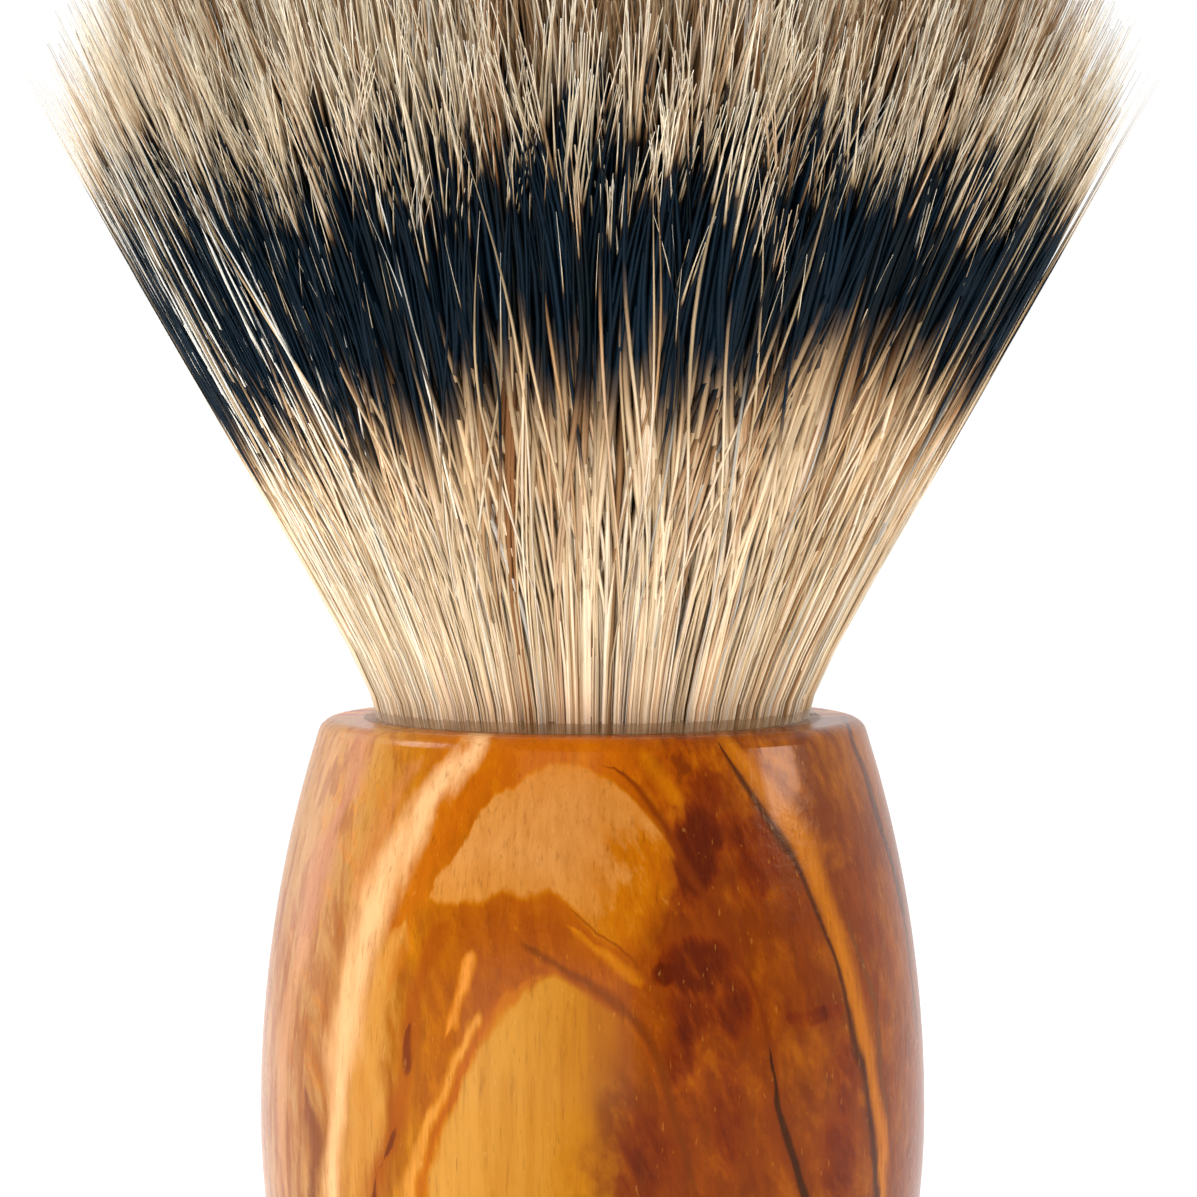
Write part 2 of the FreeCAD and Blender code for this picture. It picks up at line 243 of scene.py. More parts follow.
# streaks on the front: colour, strength, and points of (depth, across, half width)
STREAKS = [
    ((184, 124, 92), 0.8, [
        (-1, -11.2, 0.5), (0.8, -11.4, 0.6), (2.9, -11.8, 0.45), (4.2, -12.6, 0.35),
        (6.0, -13.2, 0.5), (9.7, -14.1, 0.35), (12, -14.5, 0.0)
    ]),
    ((190, 124, 76), 0.8, [
        (0.8, -8.4, 0.0), (1.3, -8.7, 0.45), (2.5, -9.5, 0.4), (4.5, -10.2, 0.42),
        (6.5, -10.9, 0.45), (8.4, -11.6, 0.0)
    ]),
    ((236, 184, 134), 1.0, [
        (-1, -4.8, 0.4), (0.4, -5.7, 0.55), (2.2, -7.2, 0.75), (4.2, -8.6, 0.75), (6.2, -9.6, 0.8),
        (8.7, -10.7, 0.85), (12.6, -11.6, 0.85), (15.3, -12.1, 0.8), (16.9, -12.3, 0.5),
        (19.1, -12.5, 0.35), (22.3, -12.7, 0.4), (33, -12.2, 0.3), (44, -11.4, 0.2)
    ]),
    ((186, 100, 48), 0.7, [
        (1.2, -4.2, 0.3), (2.1, -5.4, 0.55), (4.6, -7.1, 0.6), (6.5, -8.1, 0.7), (9.0, -9.2, 0.6),
        (11.5, -9.6, 0.2), (13, -9.9, 0.0)
    ]),
    ((196, 140, 96), 0.7, [
        (10, -14.0, 0.0), (11.6, -14.5, 0.3), (13.8, -15.1, 0.35), (18.7, -15.4, 0.25),
        (24, -15.3, 0.0)
    ]),
    ((122, 64, 34), 0.85, [
        (17.4, -14.1, 0.0), (18.5, -13.9, 0.2), (19.6, -13.6, 0.42), (20.9, -13.5, 0.25),
        (22.5, -13.7, 0.2), (27, -13.9, 0.0)
    ]),
    ((206, 146, 82), 0.8, [
        (8.5, -8.9, 0.0), (11.0, -9.9, 0.5), (14.0, -10.6, 0.6), (18.0, -11.0, 0.8),
        (22.0, -11.2, 0.9), (34, -11.0, 0.7), (46, -10, 0.3)
    ]),
    ((156, 80, 42), 0.8, [
        (8.6, -6.8, 0.0), (10.2, -7.9, 0.55), (11.8, -8.4, 0.35), (14.2, -8.8, 0.45),
        (15.8, -8.9, 0.3), (17.6, -9.2, 0.65), (19.7, -9.8, 0.45), (21.9, -10.4, 0.55),
        (30, -10.9, 0.4), (40, -10.4, 0.0)
    ]),
    ((112, 46, 18), 0.9, [
        (13.5, -8.7, 0.0), (14.2, -8.8, 0.13), (15.4, -8.85, 0.2), (16.4, -8.9, 0.0)
    ]),
    ((104, 42, 16), 0.9, [
        (18.6, -9.5, 0.0), (19.7, -9.8, 0.16), (20.6, -10.1, 0.0), (21.2, -10.3, 0.0),
        (22.6, -10.6, 0.2), (25, -10.9, 0.0)
    ]),
    ((226, 150, 84), 0.9, [
        (10.0, -5.7, 0.0), (10.8, -5.9, 0.28), (12.2, -6.3, 0.26), (13.4, -6.75, 0.2),
        (14.3, -7.1, 0.0)
    ]),
    ((226, 158, 88), 0.85, [
        (12.8, -5.4, 0.0), (13.6, -5.8, 0.26), (15.3, -6.6, 0.26), (17.4, -7.25, 0.22),
        (19.6, -8.2, 0.28), (21.7, -8.7, 0.4), (30, -9.0, 0.4), (42, -8.4, 0.2)
    ]),
    ((182, 94, 32), 0.8, [
        (10.9, -2.2, 0.0), (11.8, -3.5, 0.4), (13.3, -4.95, 0.42), (15.2, -5.95, 0.3),
        (16.8, -6.65, 0.3), (19.5, -7.55, 0.28), (21.7, -8.2, 0.3), (32, -8.2, 0.2),
        (42, -7.4, 0.0)
    ]),
    ((202, 126, 64), 0.55, [
        (0.2, 2.2, 0.2), (0.8, 2.55, 0.4), (2.2, 3.5, 0.42), (3.4, 4.3, 0.0)
    ]),
    ((210, 136, 72), 0.65, [
        (8.7, -1.3, 0.0), (9.4, -0.4, 0.25), (10.2, 0.8, 0.42), (10.9, 1.6, 0.45), (11.7, 2.3, 0.0)
    ]),
    ((138, 66, 20), 0.7, [
        (7.9, -1.2, 0.0), (8.6, -0.4, 0.1), (9.3, 0.6, 0.12), (10.1, 1.7, 0.1), (10.8, 2.3, 0.0)
    ]),
    ((194, 120, 60), 0.9, [
        (-1, 5.6, 0.2), (0.4, 6.7, 0.3), (1.9, 7.9, 0.55), (4.1, 9.5, 0.7), (6.0, 10.5, 0.55),
        (8.1, 11.35, 0.4), (10.2, 12.0, 0.42), (12.9, 12.75, 0.42), (15.2, 13.35, 0.38),
        (18.0, 13.9, 0.3), (20.8, 14.3, 0.25), (28, 14.3, 0.3), (44, 13, 0.2)
    ]),
    ((70, 30, 14), 0.95, [
        (0.0, 5.9, 0.0), (1.2, 6.65, 0.1), (1.9, 7.1, 0.16), (4.1, 8.55, 0.22), (5.2, 9.25, 0.3),
        (5.8, 9.65, 0.15), (7.8, 10.6, 0.12), (10.9, 11.75, 0.1), (15.1, 12.85, 0.16),
        (17.3, 13.3, 0.18), (20.1, 13.75, 0.18), (22.9, 14.0, 0.16), (30, 14.0, 0.12),
        (44, 12.7, 0.05)
    ]),
    ((112, 66, 40), 0.8, [
        (9.0, 12.5, 0.0), (10.0, 12.75, 0.1), (12.7, 13.65, 0.13), (14.6, 14.05, 0.13),
        (17.5, 14.35, 0.1), (20, 14.6, 0.0)
    ]),
    ((84, 40, 26), 0.9, [
        (-1, 12.6, 0.1), (0.4, 12.75, 0.12), (2.4, 13.55, 0.14), (4.9, 14.3, 0.12),
        (7.5, 15.1, 0.12), (12, 15.9, 0.08), (17, 16.3, 0.0)
    ]),
    ((118, 46, 10), 0.85, [
        (1.0, 0.2, 0.0), (1.8, 1.7, 0.18), (3.2, 2.85, 0.2), (4.4, 3.65, 0.2), (6.5, 4.7, 0.3),
        (7.9, 5.7, 0.25), (10.3, 6.9, 0.18), (11.5, 7.55, 0.12), (13.4, 8.25, 0.14),
        (15.2, 8.6, 0.16), (16.7, 8.8, 0.2), (18.1, 9.05, 0.3), (19.4, 9.35, 0.42),
        (21.0, 9.9, 0.4), (22.3, 10.3, 0.36), (30, 11.2, 0.15), (40, 11.0, 0.0)
    ]),
    ((46, 22, 10), 0.9, [
        (14.5, 8.5, 0.0), (16.0, 8.7, 0.07), (18.0, 9.0, 0.14), (19.4, 9.4, 0.2), (21.0, 9.95, 0.2),
        (23.5, 10.6, 0.16), (29, 11.2, 0.0)
    ]),
    ((112, 50, 18), 0.7, [
        (9.3, -3.6, 0.0), (9.8, -3.0, 0.3), (10.4, -2.1, 0.35), (10.9, -1.2, 0.4),
        (11.4, -0.2, 0.5), (12.0, 0.6, 0.5), (12.9, 1.6, 0.35), (13.9, 2.5, 0.25), (15.5, 3.3, 0.2),
        (18.1, 3.95, 0.18), (20.5, 4.7, 0.15), (27, 5.6, 0.12), (40, 5.6, 0.0)
    ]),
]

# edges of the two arches: points of (across, depth)
FIRST_FLOOR = [
    (-9.0, 7.8), (-7.2, 7.8), (-5.2, 7.7), (-3.8, 7.2), (-2.8, 7.3), (-1.7, 7.6), (-0.5, 8.5),
    (0.35, 9.2), (1.5, 10.0), (2.4, 10.2), (3.4, 9.0), (4.4, 6.5), (9.0, 6.5),
]
SECOND_TOP = [
    (-9.0, 48.0), (-8.6, 24.0), (-7.8, 20.2), (-6.2, 16.0), (-5.4, 13.9), (-4.7, 12.7),
    (-3.9, 11.8), (-3.2, 11.3), (-2.4, 11.0), (-1.6, 11.1), (-0.8, 11.5), (0.35, 12.3),
    (1.8, 13.6), (2.9, 16.0), (3.8, 20.6), (4.6, 27.0), (5.4, 48.0), (9.0, 48.0),
]

# dark knots on the front: strength, depth, across, radius down, radius across
KNOTS = [
    (1.2, 5.2, 5.0, 1.6, 1.0),
    (0.7, 4.5, 6.6, 0.8, 0.7),
    (0.9, 7.2, 4.8, 0.9, 0.6),
    (0.6, 5.8, 8.0, 1.8, 0.9),
    (1.2, 10.7, 5.2, 1.1, 1.6),
    (0.9, 11.2, 3.4, 0.45, 0.5),
    (0.7, 12.9, 4.7, 1.2, 1.0),
    (0.7, 12.8, 6.9, 1.3, 0.8),
    (0.6, 14.8, 4.2, 1.4, 0.6),
    (0.45, 2.6, 5.4, 1.2, 0.8),
    (0.5, 13.4, 10.8, 0.4, 1.4),
    (0.5, 16.6, 12.4, 1.6, 0.6),
    (0.6, 21.0, 12.0, 2.6, 0.7),
    (0.5, 17.8, 6.4, 2.4, 0.7),
    (0.5, 20.5, 2.6, 2.8, 1.4),
]


# the belly's radius, and how far in front of the axis the drawn front ends
BELLY = 16.8
FRONT_REACH = 9.0

# how far the drawing runs down from a millimetre above the rim, and to either side; the arches
# reach less far aside
DRAWN_DOWN = 50.0
DRAWN_ASIDE = 17.0
ARCH_ASIDE = 9.0


def draw_streaks(graph, colour, depth, across):
    """Lay the long streaks of the front over the colour, each along its own smooth path."""
    run = graph.times_plus(depth, 1 / DRAWN_DOWN, 1 / DRAWN_DOWN)
    for shade, strength, points in STREAKS:
        first, last = points[0][0], points[-1][0]
        # thin streaks have a firmer core than broad ones
        broadest = max(width for at, side, width in points)
        core = 0.1 if broadest > 0.25 else 0.45
        path = [((at + 1) / DRAWN_DOWN, (side + DRAWN_ASIDE) / (2 * DRAWN_ASIDE))
                for at, side, width in points]
        middle = graph.times_plus(graph.curve(run, path), 2 * DRAWN_ASIDE, -DRAWN_ASIDE)
        width = graph.curve(run, [((at + 1) / DRAWN_DOWN, width) for at, side, width in points])
        gap = graph.calc("ABSOLUTE", graph.minus(across, middle))
        gap = graph.over(gap, graph.calc("MAXIMUM", width, 0.01))
        inside = graph.smooth(gap, 1.9 - core, core)
        begun = graph.smooth(depth, first - 0.2, first + 0.5)
        present = graph.times(begun, graph.smooth(depth, last + 0.2, last - 0.5))
        inside = graph.times(graph.times(inside, present), strength)
        colour = graph.blend(inside, colour, srgb(*shade))
    return colour


def draw_knots(graph, colour, depth, across, behind, mottle):
    """Dark knots: soft spots that the mottling breaks into ragged, merging patches."""
    slanted = graph.join(graph.times_plus(depth, -0.4, across), behind, graph.times(depth, 0.3))
    wisps = graph.noise(slanted, 1.4, detail=5, roughness=0.6)
    spots = 0.0
    for strength, at_depth, at_across, tall, wide in KNOTS:
        down = graph.times(graph.minus(depth, at_depth), 1 / tall)
        aside = graph.times(graph.minus(across, at_across), 1 / wide)
        reach = graph.plus(graph.square(down), graph.square(aside))
        spots = graph.plus(graph.times(graph.smooth(reach, 2.2, 0.0), strength), spots)
    ragged = graph.times_plus(mottle, 1.9, -1.95)
    ragged = graph.times_plus(wisps, 1.9, ragged)
    total = graph.minus(graph.plus(spots, ragged), 0.1)
    near = graph.smooth(spots, 0.0, 0.35)
    brown = graph.times(graph.smooth(total, -0.7, 0.6), graph.times(near, 0.8))
    colour = graph.blend(brown, colour, srgb(128, 44, 2))
    black = graph.times(graph.smooth(total, -0.1, 1.1), graph.times(near, 0.9))
    return graph.blend(black, colour, srgb(82, 18, 0))


def arch(graph, depth, across, apex_depth, apex_across, roundness, softness):
    """1 inside a pointed arch of growth rings, 0 outside it."""
    side = graph.square(graph.minus(across, apex_across))
    level = graph.minus(depth, graph.over(side, roundness))
    return graph.smooth(level, apex_depth, apex_depth + softness)


def below_edge(graph, depth, across, points):
    """How far down a place lies from a smooth edge through points of (across, depth)."""
    turn = graph.times_plus(across, 0.5 / ARCH_ASIDE, 0.5)
    path = [(at / (2 * ARCH_ASIDE) + 0.5, level / DRAWN_DOWN) for at, level in points]
    return graph.times_plus(graph.curve(turn, path), -DRAWN_DOWN, depth)


def draw_first_arch(graph, colour, depth, across, behind, mottle, broad):
    """The upper arch, honey with a warmer right side, and cloudy brown under it."""
    top = arch(graph, depth, across, apex_depth=1.05, apex_across=-1.3, roundness=6.6,
               softness=0.35)
    below = below_edge(graph, depth, across, FIRST_FLOOR)
    below = graph.times_plus(graph.minus(broad, 0.5), 2.0, below)
    floor = graph.smooth(below, 0.35, -0.25)
    lean = graph.times_plus(graph.smooth(depth, 6.0, 12.0), 2.6, across)
    inside = graph.times(graph.times(top, floor), graph.smooth(lean, 5.0, 2.6))
    honey = graph.ramp(graph.over(depth, 12.0), [
        (0.08, srgb(200, 126, 66)), (0.26, srgb(204, 140, 82)), (0.45, srgb(206, 144, 88)),
        (0.64, srgb(204, 138, 78)), (0.8, srgb(202, 130, 68)), (1.0, srgb(198, 122, 60))])
    warmer = graph.times(graph.smooth(across, -1.5, 2.5), graph.smooth(depth, 2.0, 5.5))
    warmer = graph.times(warmer, graph.smooth(mottle, 0.3, 0.62))
    honey = graph.blend(warmer, honey, srgb(180, 96, 30))
    colour = graph.blend(inside, colour, honey)

    slanted = graph.join(graph.times_plus(depth, -0.2, across), behind, graph.times(depth, 0.25))
    fibrous = graph.noise(slanted, 1.1, detail=5, roughness=0.6)
    cloudy = graph.times(graph.smooth(below, 0.2, 1.2), graph.smooth(fibrous, 0.4, 0.62))
    return graph.blend(graph.times(cloudy, 0.5), colour, srgb(142, 62, 14))


def draw_second_arch(graph, colour, depth, across, mottle, broad):
    """The lower arch: honey on its left, and on its right a stain whose edge wanders."""
    inside = graph.smooth(below_edge(graph, depth, across, SECOND_TOP), -0.1, 0.35)
    # the edge wanders more the nearer it comes to the foot
    wander = graph.times(graph.minus(broad, 0.5), graph.smooth(depth, 15.0, 28.0))
    edge = graph.times_plus(wander, 14.0, across)
    honey = graph.ramp(graph.times_plus(edge, 0.5 / ARCH_ASIDE, 0.5), [
        (0.1, srgb(210, 152, 84)), (0.38, srgb(198, 136, 66)), (0.46, srgb(188, 122, 54)),
        (0.6, srgb(156, 78, 16)), (0.75, srgb(132, 56, 8))])
    colour = graph.blend(inside, colour, honey)
    stain = graph.times(graph.smooth(depth, 13.5, 18.0), graph.smooth(edge, -0.9, 1.2))
    stain = graph.times(graph.times(stain, inside), graph.smooth(mottle, 0.25, 0.6))
    return graph.blend(graph.times(stain, 0.9), colour, srgb(112, 42, 4))


def front_ground(graph, depth, across, deep, behind, mottle, broad):
    """The colours under the figure: streaky on the left, mottled and dark on the right."""
    turn = graph.times_plus(across, 0.5 / DRAWN_ASIDE, 0.5)
    colour = graph.ramp(turn, [((at + DRAWN_ASIDE) / (2 * DRAWN_ASIDE), srgb(*shade))
                               for at, shade in FRONT])
    right = graph.smooth(across, 1.0, 4.5)
    # the mottling dies away round the sides
    seen = graph.smooth(deep, -4.0, -11.0)
    light = graph.times(graph.smooth(mottle, 0.5, 0.34), graph.times_plus(seen, 0.3, 0.2))
    colour = graph.blend(light, colour, srgb(206, 128, 60))
    murky = graph.times(right, graph.smooth(depth, 1.5, 5.0))
    murky = graph.times(graph.smooth(broad, 0.41, 0.58), murky)
    murky = graph.times(murky, graph.times_plus(seen, 0.35, 0.5))
    colour = graph.blend(murky, colour, srgb(98, 32, 0))
    fibres = graph.join(across, behind, graph.times(depth, 0.09))
    streaky = graph.smooth(graph.noise(fibres, 1.5, detail=3), 0.5, 0.62)
    streaky = graph.times(streaky, graph.smooth(across, -7.0, -10.0))
    colour = graph.blend(graph.times(streaky, 0.6), colour, srgb(144, 80, 38))
    amount = graph.times(right, graph.times_plus(seen, 0.45, 0.25))
    dark = graph.times(graph.smooth(mottle, 0.48, 0.62), amount)
    colour = graph.blend(dark, colour, srgb(96, 30, 0))
    deeper = graph.times(graph.smooth(depth, 0.5, 6.0), graph.smooth(across, -9.0, -5.0))
    return graph.blend(graph.times(deeper, 0.4), colour, srgb(132, 54, 8))


def front_colour(graph, depth, across, deep):
    """The front of the handle: two nested arches between long streaks, dark right of them."""
    # the same all over the front, so that the mottling there depends on the drawn place alone
    behind = graph.plus(graph.calc("MAXIMUM", deep, -FRONT_REACH), FRONT_REACH)
    sheared = graph.join(graph.times_plus(depth, -0.35, across), behind, graph.times(depth, 0.5))
    mottle = graph.noise(sheared, 0.85, detail=6, roughness=0.62)
    upright = graph.join(across, behind, graph.times(depth, 0.8))
    broad = graph.noise(upright, 0.36, detail=4, roughness=0.6)
    colour = front_ground(graph, depth, across, deep, behind, mottle, broad)
    colour = draw_first_arch(graph, colour, depth, across, behind, mottle, broad)
    colour = draw_second_arch(graph, colour, depth, across, mottle, broad)
    colour = draw_knots(graph, colour, depth, across, behind, mottle)
    return draw_streaks(graph, colour, depth, across)


def ring_colour(graph, place, across, deep, up):
    """The rest of the block: growth rings that stand almost square to the front."""
    lean = graph.times_plus(across, 0.006, 0.06)
    level = graph.times(deep, -0.995)
    level = graph.times_plus(across, -0.1, level)
    level = graph.minus(level, graph.times(up, lean))
    wander = graph.grain(place, 0.4, 0.11, detail=1.5)
    ripple = graph.grain(place, 0.45, 0.42, detail=3, roughness=0.6)
    for source, reach in ((wander, 3.0), (ripple, 0.8)):
        level = graph.plus(level, graph.times(graph.minus(source, 0.5), reach))
    turn = graph.over(graph.minus(level, RING_LOW), RING_SPAN)
    stops = [((at - RING_LOW) / RING_SPAN, srgb(*shade)) for at, shade in RINGS]
    colour = graph.ramp(graph.calc("PINGPONG", turn, 1.0), stops)
    knots = graph.grain(place, 0.5, 0.3, detail=4, roughness=0.6)
    return graph.blend(graph.smooth(knots, 0.56, 0.7), colour, srgb(104, 46, 16))


def olive_wood():
    graph = Graph("olive_wood", Roughness=0.26, Specular_IOR_Level=0.13, Coat_Weight=0.1,
                  Coat_Roughness=0.1, Specular_Tint=(1.0, 0.72, 0.4, 1.0))
    place = graph.millimetres()
    across, deep, up = graph.split(place)[:3]

    # drawn edges are broken up by shifting the place a little, more across than along
    broad = graph.grain(place, 0.5, 0.5, detail=2)
    fine = graph.grain(place, 0.22, 2.4, detail=3, roughness=0.6)
    shift = graph.plus(graph.times_plus(broad, 0.7, -0.35), graph.times_plus(fine, 0.34, -0.17))
    # below the belly the drawing narrows with the waist
    reach = graph.calc("SQRT", graph.plus(graph.square(across), graph.square(deep)))
    swell = graph.minus(graph.over(BELLY, graph.calc("MAXIMUM", reach, 6.0)), 1.0)
    swell = graph.times_plus(swell, graph.smooth(up, -20.0, -28.0), 1.0)
    drawn_across = graph.times_plus(across, swell, shift)
    drawn_depth = graph.minus(graph.times(shift, 1.5), up)

    front = front_colour(graph, drawn_depth, drawn_across, deep)
    rest = ring_colour(graph, place, across, deep, up)
    facing = graph.times_plus(graph.minus(broad, 0.5), 4.0, deep)
    colour = graph.blend(graph.smooth(facing, -1.0, 1.5), front, rest)

    # broad and fine fibres, pores and short rays
    grain = graph.grain(place, 0.07, 1.5, detail=5, roughness=0.65)
    grain = graph.times(graph.smooth(grain, 0.38, 0.66), 0.5)
    colour = graph.blend(grain, colour, srgb(228, 212, 198), "MULTIPLY")
    streak = graph.grain(place, 0.07, 4.5, detail=3, roughness=0.7)
    colour = graph.blend(graph.times(graph.smooth(streak, 0.5, 0.85), 0.5), colour,
                         srgb(110, 54, 20))
    pores = graph.grain(place, 0.16, 6.0, detail=1)
    pores = graph.times(graph.smooth(pores, 0.66, 0.78), 0.28)
    colour = graph.blend(pores, colour, srgb(96, 46, 18))
    rays = graph.grain(place, 0.3, 5.0, detail=1)
    rays = graph.times(graph.smooth(rays, 0.7, 0.78), 0.16)
    colour = graph.blend(rays, colour, srgb(238, 182, 118))
    graph.paint(graph.richer(colour, 1.08))

    orange_peel = graph.noise(place, 1.6, detail=3)
    relief = graph.times_plus(streak, 0.4, orange_peel)
    graph.bump(relief, 0.12, 0.0003)
    return graph.material


# ---- hair ----

COLUMNS = 128
# the first columns hold hairs darkened as painted shade, for hairs deep in the fan
PAINTED_SHADE_COLUMNS = 48
DARK_COLUMN = 108
TAN_COLUMN = 112
WHITE_COLUMN = 120
BAND_LOW = 0.36
BAND_HIGH = 0.56

# heights of the dark zone's two edges around the fan: turn in degrees, lower edge, upper edge
DARK_ZONE = [
    (-180, 17.5, 28.0),
    (-110, 15.0, 26.5),
    (-80, 13.7, 25.8),
    (-60, 14.0, 27.6),
    (-25, 16.4, 28.5),
    (0, 19.0, 29.2),
    (25, 19.1, 29.0),
    (48, 19.1, 27.0),
    (65, 18.8, 27.2),
    (85, 16.0, 27.6),
    (120, 15.5, 27.5),
    (180, 17.5, 28.0),
]

# a hair's colour from root to tip, by its place along the map
HAIR = [
    (0.0, (196, 164, 124)),
    (0.05, (230, 198, 154)),
    (0.16, (244, 214, 170)),
    (0.29, (236, 202, 156)),
    (0.325, (190, 156, 116)),
    (0.36, (88, 72, 60)),
    (0.39, (4, 25, 38)),
    (0.54, (4, 25, 38)),
    (0.56, (56, 42, 34)),
    (0.58, (168, 140, 104)),
    (0.63, (222, 196, 158)),
    (0.80, (246, 222, 184)),
    (0.93, (253, 236, 206)),
    (1.0, (254, 246, 228)),
]

# the few hairs that are dark, tan or white all along
DARK_HAIR = [
    (0.0, (70, 60, 52)),
    (0.5, (26, 34, 40)),
    (1.0, (60, 56, 52)),
]
TAN_HAIR = [
    (0.0, (190, 160, 122)),
    (0.3, (222, 190, 146)),
    (0.46, (140, 120, 92)),
    (0.7, (210, 186, 150)),
    (1.0, (244, 226, 196)),
]
WHITE_HAIR = [
    (0.0, (216, 196, 162)),
    (0.3, (246, 232, 206)),
    (0.5, (236, 232, 222)),
    (1.0, (252, 246, 234)),
]


def hair_material():
    """Colours run along each hair; the map's columns make one hair differ from the next."""
    graph = Graph("badger_hair", Roughness=0.5, Specular_IOR_Level=0.12)
    chart = graph.node("ShaderNodeUVMap", uv_map="OFBake").outputs[0]
    wide, along = graph.split(chart)[:2]
    column = graph.calc("FLOOR", graph.times(wide, COLUMNS))

    def chance(offset):
        dice = graph.node("ShaderNodeTexWhiteNoise", {"W": graph.plus(column, offset)},
                          noise_dimensions="1D")
        return dice.outputs["Value"]

    colour = graph.ramp(along, [(at, srgb(*shade)) for at, shade in HAIR])
    kinds = ((DARK_COLUMN, DARK_HAIR), (TAN_COLUMN, TAN_HAIR), (WHITE_COLUMN, WHITE_HAIR))
    for first_column, stops in kinds:
        plain = graph.ramp(along, [(at, srgb(*shade)) for at, shade in stops])
        chosen = graph.calc("GREATER_THAN", column, first_column - 0.5)
        colour = graph.blend(chosen, colour, plain)
    russet = graph.calc("GREATER_THAN", chance(400.5), 0.88)
    colour = graph.blend(graph.times(russet, 0.6), colour, srgb(226, 188, 150), "MULTIPLY")
    # ordinary columns grow paler with their number, and choose_columns takes the paler ones more
    # often on the left, as painted light on that side
    ladder = graph.over(graph.minus(column, PAINTED_SHADE_COLUMNS), DARK_COLUMN - PAINTED_SHADE_COLUMNS)
    ladder = graph.calc("MINIMUM", graph.calc("MAXIMUM", ladder, 0.0), 1.0)
    shade = graph.times_plus(ladder, 0.36, 0.72)
    shade = graph.times_plus(chance(200.5), 0.1, shade)
    light_part = graph.smooth(graph.calc("ABSOLUTE", graph.minus(along, 0.455)), 0.12, 0.19)
    pale = graph.times(graph.times(ladder, ladder), light_part)
    colour = graph.blend(graph.times(pale, 0.5), colour, srgb(252, 243, 226))
    # hairs in the first columns are darkened: painted shade of hairs deep between the tufts
    painted_shade = graph.calc("LESS_THAN", column, PAINTED_SHADE_COLUMNS - 0.5)
    colour = graph.blend(painted_shade, colour, srgb(186, 162, 140), "MULTIPLY")
    fleck = graph.noise(graph.join(graph.times(column, 3.7), along, 0.0), 9.0, detail=2)
    fleck = graph.smooth(fleck, 0.3, 0.7)
    shade = graph.times(shade, graph.times_plus(fleck, 0.42, 0.72))
    grey = graph.join(shade, shade, shade)
    colour = graph.blend(1.0, colour, grey, "MULTIPLY")
    graph.paint(colour)
    return graph.material


def soft_ramp(value, softness):
    return softness * np.log1p(np.exp(value / softness))


def fan_radius(height):
    """The radius of the outermost hairs: straight out from the mouth, with a soft bend there."""
    start = 0.3
    full = SHOULDER - 1.6
    gap = 0.15  # between the hairs and the socket's wall at the mouth
    slope = (FAN - MOUTH) / (full - start)
    return MOUTH - gap + slope * soft_ramp(height - start, 1.2)


def crown_height(share):
    """Where a straight hair at that share of the fan's radius meets the dome of the crown."""
    heights = np.linspace(LOFT, SHOULDER - 1.8, 200)
    rise = np.clip((heights - SHOULDER) / (LOFT - SHOULDER), 0, 1)
    shares = FAN * np.sqrt(1 - rise**2) / fan_radius(heights)
    return np.interp(share, shares, heights)


def ease(value):
    value = np.clip(value, 0, 1)
    return value * value * (3 - 2 * value)


def choose_columns(rng, turn, shaded):
    """The map's column for each hair: painted shade, ordinary, dark, tan or white.

    White hairs and the paler ordinary ones are commonest on the left, and tan ones on the right.
    The paler hairs and the fewer painted-shade ones on the left are painted light on that side.
    """
    count = len(turn)
    left = np.clip(-np.sin(turn), 0, 1)
    right = np.clip(np.sin(turn), 0, 1)
    painted_shade = rng.integers(0, PAINTED_SHADE_COLUMNS, count)
    # paler hairs more often on the left: painted light on that side
    paleness_and_left_light = rng.random(count)**(1.1 - 0.75 * left)
    column = (PAINTED_SHADE_COLUMNS + paleness_and_left_light * (DARK_COLUMN - PAINTED_SHADE_COLUMNS - 0.01)).astype(int)
    dark = rng.integers(DARK_COLUMN, TAN_COLUMN, count)
    tan = rng.integers(TAN_COLUMN, WHITE_COLUMN, count)
    white = rng.integers(WHITE_COLUMN, COLUMNS, count)
    # painted-shade hairs are rarer on the left: painted light on that side
    column = np.where(rng.random(count) < shaded * (1 - 0.6 * left), painted_shade, column)
    dice = rng.random(count)
    column = np.where(dice < 0.075 + 0.07 * right, tan, column)
    column = np.where(dice < 0.025, dark, column)
    return np.where(dice > 0.998 - 0.02 * left, white, column)


